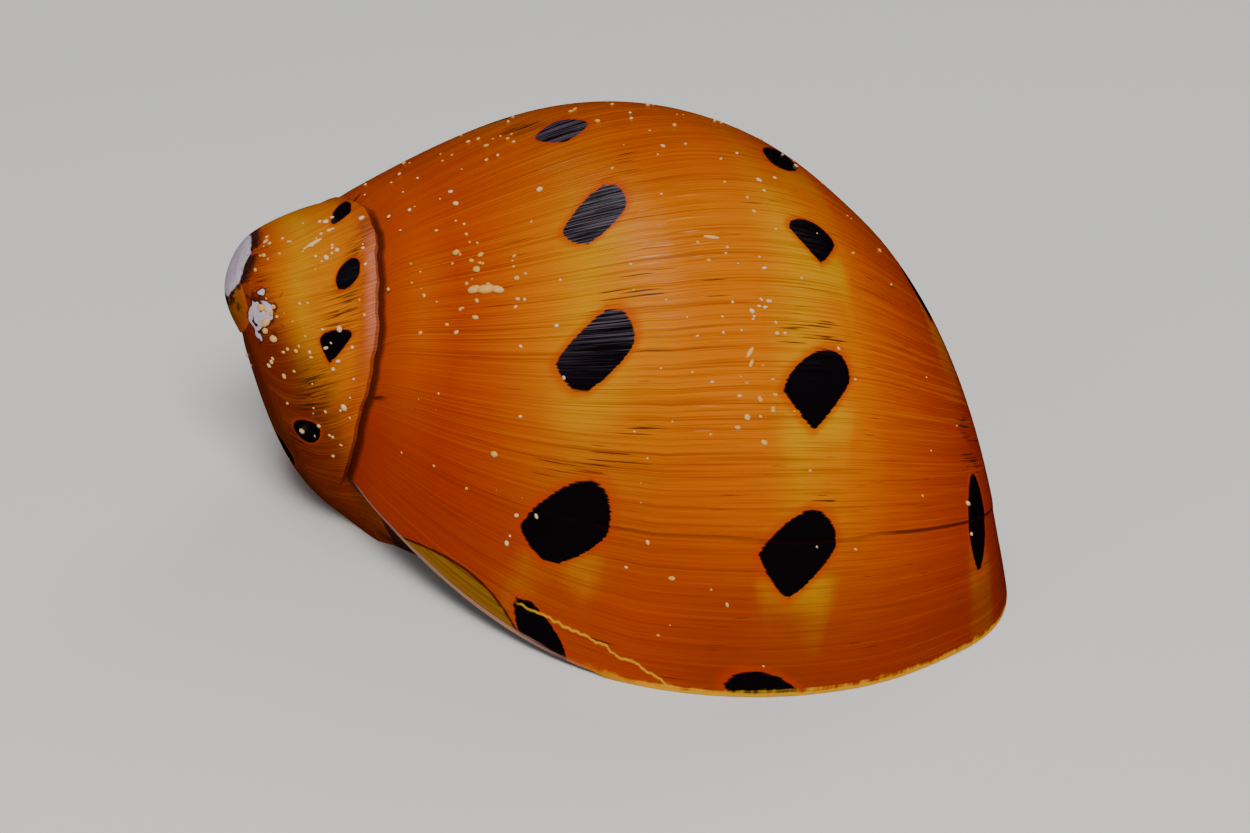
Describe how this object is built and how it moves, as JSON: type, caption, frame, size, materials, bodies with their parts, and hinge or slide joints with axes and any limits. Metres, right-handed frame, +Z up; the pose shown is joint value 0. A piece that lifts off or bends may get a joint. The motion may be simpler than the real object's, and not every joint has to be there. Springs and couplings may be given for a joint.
{
  "type": "nerite snail shell",
  "caption": "Empty hollow snail shell: a low, wide, right-handed coil with a small worn spire, a thin outer lip and a flat toothed deck half closing the mouth.",
  "frame": {"origin": "middle of the shell's bounding box, on the plane of the mouth that it rests on", "axes": "+Z up from the mouth plane; -X towards the tip of the spire; -Y towards the outer lip"},
  "size_m": [0.0244, 0.0218, 0.0122],
  "materials": {
    "shell": "satin"
  },
  "bodies": {
    "root": {"shell": "shell"}
  },
  "joints": []
}
